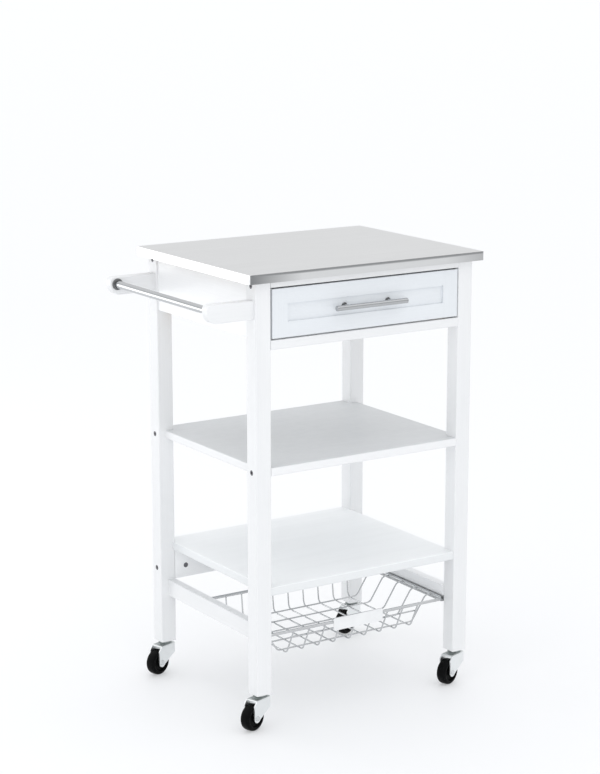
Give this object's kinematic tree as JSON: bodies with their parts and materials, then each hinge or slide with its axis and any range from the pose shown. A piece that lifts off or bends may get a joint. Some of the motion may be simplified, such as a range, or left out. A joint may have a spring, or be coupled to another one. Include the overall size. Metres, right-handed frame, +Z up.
{
  "type": "rolling utility cart",
  "caption": "Rolling kitchen utility cart with steel worktop, drawer, open shelves, sliding wire basket, towel bar and swivel casters.",
  "frame": {"origin": "bottom centre of the whole cart's box, on the floor", "axes": "+Z up, -Y towards the drawer front and its user, +X to the user's right, away from the towel bar"},
  "size_m": [0.592, 0.4194, 0.85],
  "materials": {
    "white_paint": "satin white paint on wood",
    "stainless": "brushed stainless sheet",
    "core_board": "particle board",
    "bare_wood": "unfinished pine",
    "drawer_board": "white-faced board",
    "chrome": "polished",
    "zinc": "bright zinc plate",
    "dark_steel": "black oxide",
    "runner_steel": "grey powder coat",
    "chrome_wire": "chrome plated wire",
    "plate_plastic": "smooth white",
    "wheel_black": "satin black"
  },
  "bodies": {
    "frame": {"back_panel": "white_paint", "barrel_nuts": "dark_steel", "basket_rail_left": "white_paint", "basket_rail_right": "white_paint", "basket_runner_left": "runner_steel", "basket_runner_right": "runner_steel", "caster_sockets": "zinc", "caster_stems": "zinc", "connector_bolts": "dark_steel", "drawer_guides": "bare_wood", "drawer_runner_left": "bare_wood", "drawer_runner_right": "bare_wood", "front_bottom_rail": "white_paint", "front_top_rail": "white_paint", "leg_back_left": "white_paint", "leg_back_right": "white_paint", "leg_front_left": "white_paint", "leg_front_right": "white_paint", "lower_back_rail": "white_paint", "lower_shelf": "white_paint", "middle_shelf": "white_paint", "side_panel_left": "white_paint", "side_panel_right": "white_paint", "top_bracket_screws": "zinc", "top_brackets": "zinc", "towel_arm_back": "white_paint", "towel_arm_front": "white_paint", "towel_bar": "chrome", "wood_dowels": "bare_wood", "worktop_core": "core_board", "worktop_skin": "stainless"},
    "drawer": {"drawer_front_stiles": "white_paint", "drawer_front_rails": "white_paint", "drawer_front_panel": "white_paint", "drawer_side_left": "drawer_board", "drawer_side_right": "drawer_board", "drawer_back": "drawer_board", "drawer_bottom": "drawer_board", "handle_bar": "chrome", "handle_posts": "chrome", "handle_screws": "zinc"},
    "basket": {"basket_rim": "chrome_wire", "basket_front_wires": "chrome_wire", "basket_back_wires": "chrome_wire", "basket_left_wires": "chrome_wire", "basket_right_wires": "chrome_wire", "basket_floor_wires": "chrome_wire", "basket_grip_plate": "plate_plastic"},
    "caster_front_left": {"caster_fork_front_left": "zinc", "caster_axle_front_left": "zinc"},
    "wheel_front_left": {"caster_wheel_front_left": "wheel_black"},
    "caster_front_right": {"caster_fork_front_right": "zinc", "caster_axle_front_right": "zinc"},
    "wheel_front_right": {"caster_wheel_front_right": "wheel_black"},
    "caster_back_left": {"caster_fork_back_left": "zinc", "caster_axle_back_left": "zinc"},
    "wheel_back_left": {"caster_wheel_back_left": "wheel_black"},
    "caster_back_right": {"caster_fork_back_right": "zinc", "caster_axle_back_right": "zinc"},
    "wheel_back_right": {"caster_wheel_back_right": "wheel_black"}
  },
  "joints": [
    {"name": "drawer_slide", "type": "slide", "parent": "frame", "child": "drawer", "axis": [0, -1, 0], "range_m": [0, 0.25]},
    {"name": "basket_slide", "type": "slide", "parent": "frame", "child": "basket", "axis": [0, -1, 0], "range_m": [0, 0.22]},
    {"name": "swivel_front_left", "type": "hinge", "parent": "frame", "child": "caster_front_left", "pos_m": [-0.185, -0.17275, 0.06], "axis": [0, 0, 1], "continuous": true},
    {"name": "roll_front_left", "type": "hinge", "parent": "caster_front_left", "child": "wheel_front_left", "pos_m": [-0.20667, -0.18017, 0.025], "axis": [0.3239, -0.9461, 0], "continuous": true},
    {"name": "swivel_front_right", "type": "hinge", "parent": "frame", "child": "caster_front_right", "pos_m": [0.262, -0.17275, 0.06], "axis": [0, 0, 1], "continuous": true},
    {"name": "roll_front_right", "type": "hinge", "parent": "caster_front_right", "child": "wheel_front_right", "pos_m": [0.24033, -0.18017, 0.025], "axis": [0.3239, -0.9461, 0], "continuous": true},
    {"name": "swivel_back_left", "type": "hinge", "parent": "frame", "child": "caster_back_left", "pos_m": [-0.185, 0.18225, 0.06], "axis": [0, 0, 1], "continuous": true},
    {"name": "roll_back_left", "type": "hinge", "parent": "caster_back_left", "child": "wheel_back_left", "pos_m": [-0.20667, 0.17483, 0.025], "axis": [0.3239, -0.9461, 0], "continuous": true},
    {"name": "swivel_back_right", "type": "hinge", "parent": "frame", "child": "caster_back_right", "pos_m": [0.262, 0.18225, 0.06], "axis": [0, 0, 1], "continuous": true},
    {"name": "roll_back_right", "type": "hinge", "parent": "caster_back_right", "child": "wheel_back_right", "pos_m": [0.24033, 0.17483, 0.025], "axis": [0.3239, -0.9461, 0], "continuous": true}
  ]
}
